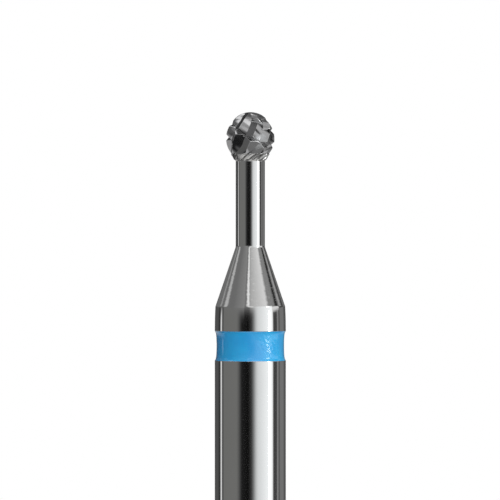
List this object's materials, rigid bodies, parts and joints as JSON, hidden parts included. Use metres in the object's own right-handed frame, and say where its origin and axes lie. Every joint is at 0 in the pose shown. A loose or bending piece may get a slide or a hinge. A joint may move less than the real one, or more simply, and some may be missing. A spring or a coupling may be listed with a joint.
{
  "type": "ball nail drill bit",
  "caption": "Slim rotary nail bit: a small fluted ball with chip-breaker notches on a neck, cone and blue-ringed straight shank.",
  "frame": {"origin": "centre of the flat end of the shank", "axes": "+Z along the shank from its flat end to the ball; X and Y are square to it"},
  "size_m": [0.0024, 0.0024, 0.0445],
  "materials": {
    "ground_steel": "cylindrically ground steel with fine marks that run round it, nearly mirror bright",
    "blue_enamel": "glossy cured enamel, slightly uneven where it settled in the groove",
    "carbide": "ground tungsten carbide, grey, with a satin grain and bright edges"
  },
  "bodies": {
    "root": {"shank": "ground_steel", "colour_ring": "blue_enamel", "cutting_head": "carbide"}
  },
  "joints": []
}
